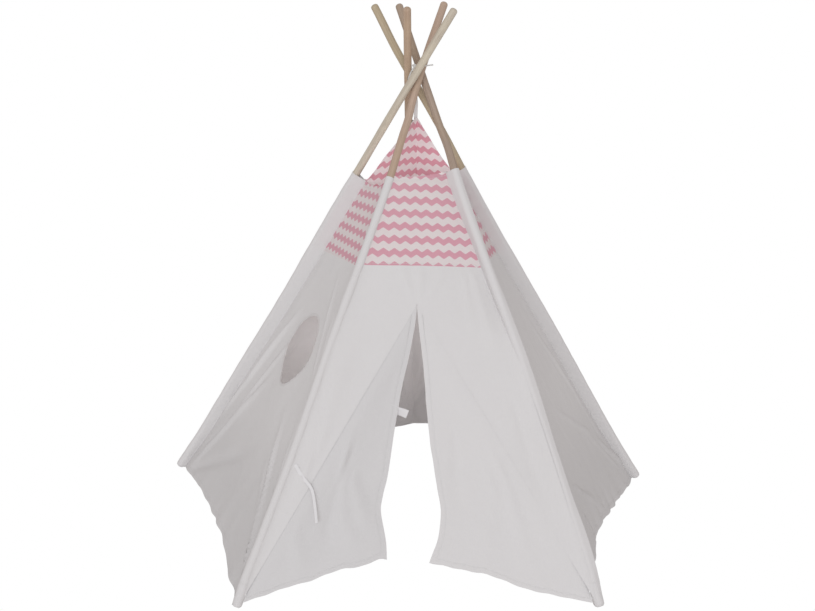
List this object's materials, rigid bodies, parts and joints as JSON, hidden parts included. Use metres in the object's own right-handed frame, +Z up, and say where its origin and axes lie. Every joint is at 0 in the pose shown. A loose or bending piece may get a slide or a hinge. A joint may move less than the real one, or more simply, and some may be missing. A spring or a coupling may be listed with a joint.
{
  "type": "kids teepee",
  "caption": "Children's play teepee: lashed wooden poles that gather like an umbrella, cotton cover with a zigzag-print top, round window and slit door.",
  "frame": {"origin": "middle of the footprint's box, on the floor", "axes": "+Z up; the door faces -Y; +X is to the right of someone facing the door from outside"},
  "size_m": [1.5548, 1.5533, 1.5381],
  "materials": {
    "pole_wood": "sanded unvarnished pine",
    "ferrule_metal": "plated steel tube",
    "cover_cotton": "plain white cotton canvas",
    "print_cotton": "white cotton with a pink zigzag print",
    "cord_cotton": "braided white cotton"
  },
  "bodies": {
    "back_pole": {"back_pole_lower": "pole_wood", "back_pole_upper": "pole_wood", "back_pole_ferrule": "ferrule_metal", "back_sleeve": "cover_cotton", "back_foot_pocket": "cover_cotton", "back_left_top_at_back": "print_cotton", "back_left_wall_at_back": "cover_cotton", "back_right_top_at_back": "print_cotton", "back_right_wall_at_back": "cover_cotton", "hanging_loop": "cord_cotton"},
    "lashing": {"lashing_cord": "cord_cotton", "lashing_knot": "cord_cotton", "lashing_cord_tail": "cord_cotton"},
    "left_pole": {"left_pole_lower": "pole_wood", "left_pole_upper": "pole_wood", "left_pole_ferrule": "ferrule_metal", "left_sleeve": "cover_cotton", "left_foot_pocket": "cover_cotton", "back_left_top_at_left": "print_cotton", "back_left_wall_at_left": "cover_cotton", "left_top_at_left": "print_cotton", "left_wall_at_left": "cover_cotton"},
    "front_left_pole": {"front_left_pole_lower": "pole_wood", "front_left_pole_upper": "pole_wood", "front_left_pole_ferrule": "ferrule_metal", "front_left_sleeve": "cover_cotton", "front_left_foot_pocket": "cover_cotton", "front_top_at_front_left": "print_cotton", "front_wall_at_front_left": "cover_cotton", "left_top_at_front_left": "print_cotton", "left_wall_at_front_left": "cover_cotton", "window_binding": "cover_cotton", "door_tie_outer": "cord_cotton"},
    "front_right_pole": {"front_right_pole_lower": "pole_wood", "front_right_pole_upper": "pole_wood", "front_right_pole_ferrule": "ferrule_metal", "front_right_sleeve": "cover_cotton", "front_right_foot_pocket": "cover_cotton", "front_top_at_front_right": "print_cotton", "front_wall_at_front_right": "cover_cotton", "right_top_at_front_right": "print_cotton", "right_wall_at_front_right": "cover_cotton"},
    "right_pole": {"right_pole_lower": "pole_wood", "right_pole_upper": "pole_wood", "right_pole_ferrule": "ferrule_metal", "right_sleeve": "cover_cotton", "right_foot_pocket": "cover_cotton", "back_right_top_at_right": "print_cotton", "back_right_wall_at_right": "cover_cotton", "right_top_at_right": "print_cotton", "right_wall_at_right": "cover_cotton"},
    "left_door": {"left_door_flap": "cover_cotton", "door_tie_inner": "cord_cotton"},
    "right_door": {"right_door_flap": "cover_cotton"}
  },
  "joints": [
    {"name": "fold", "type": "hinge", "parent": "back_pole", "child": "lashing", "pos_m": [-0.02836, -0.0639, 1.3278], "axis": [0.9987, -0.0505, 0], "range_deg": [0, 26.88], "deforming": ["back_left_top_at_back", "back_left_wall_at_back", "back_right_top_at_back", "back_right_wall_at_back", "hanging_loop", "lashing_cord", "lashing_cord_tail"]},
    {"name": "left_pole_fold", "type": "hinge", "parent": "lashing", "child": "left_pole", "pos_m": [-0.01636, -0.1103, 1.3278], "axis": [-0.4421, -0.897, 0], "range_deg": [0, 27.05], "deforming": ["back_left_top_at_left", "back_left_wall_at_left", "left_top_at_left", "left_wall_at_left"]},
    {"name": "front_left_pole_fold", "type": "hinge", "parent": "lashing", "child": "front_left_pole", "pos_m": [0.00124, -0.0805, 1.3278], "axis": [0.8349, -0.5504, 0], "range_deg": [0, 26.56], "deforming": ["front_top_at_front_left", "front_wall_at_front_left", "left_top_at_front_left", "left_wall_at_front_left", "window_binding", "left_door_flap", "door_tie_outer", "door_tie_inner"]},
    {"name": "front_right_pole_fold", "type": "hinge", "parent": "lashing", "child": "front_right_pole", "pos_m": [0.01584, -0.0504, 1.3278], "axis": [0.7952, 0.6063, 0], "range_deg": [0, 26.96], "deforming": ["front_top_at_front_right", "front_wall_at_front_right", "right_top_at_front_right", "right_wall_at_front_right", "right_door_flap"]},
    {"name": "right_pole_fold", "type": "hinge", "parent": "lashing", "child": "right_pole", "pos_m": [-0.00826, -0.0341, 1.3278], "axis": [-0.348, 0.9375, 0], "range_deg": [0, 26.75], "deforming": ["back_right_top_at_right", "back_right_wall_at_right", "right_top_at_right", "right_wall_at_right"]},
    {"name": "left_door_open", "type": "hinge", "parent": "front_left_pole", "child": "left_door", "pos_m": [-0.2042, -0.55464, 0.38614], "axis": [0.479, 0.4166, 0.7726], "range_deg": [-140, 0]},
    {"name": "right_door_open", "type": "hinge", "parent": "front_right_pole", "child": "right_door", "pos_m": [0.24988, -0.52968, 0.38606], "axis": [0.5285, -0.3593, -0.7691], "range_deg": [-140, 0]}
  ],
  "couplings": [
    {"joint": "left_pole_fold", "follows": "fold", "ratio": 1.0065},
    {"joint": "front_left_pole_fold", "follows": "fold", "ratio": 0.98827},
    {"joint": "front_right_pole_fold", "follows": "fold", "ratio": 1.0031},
    {"joint": "right_pole_fold", "follows": "fold", "ratio": 0.99543}
  ]
}
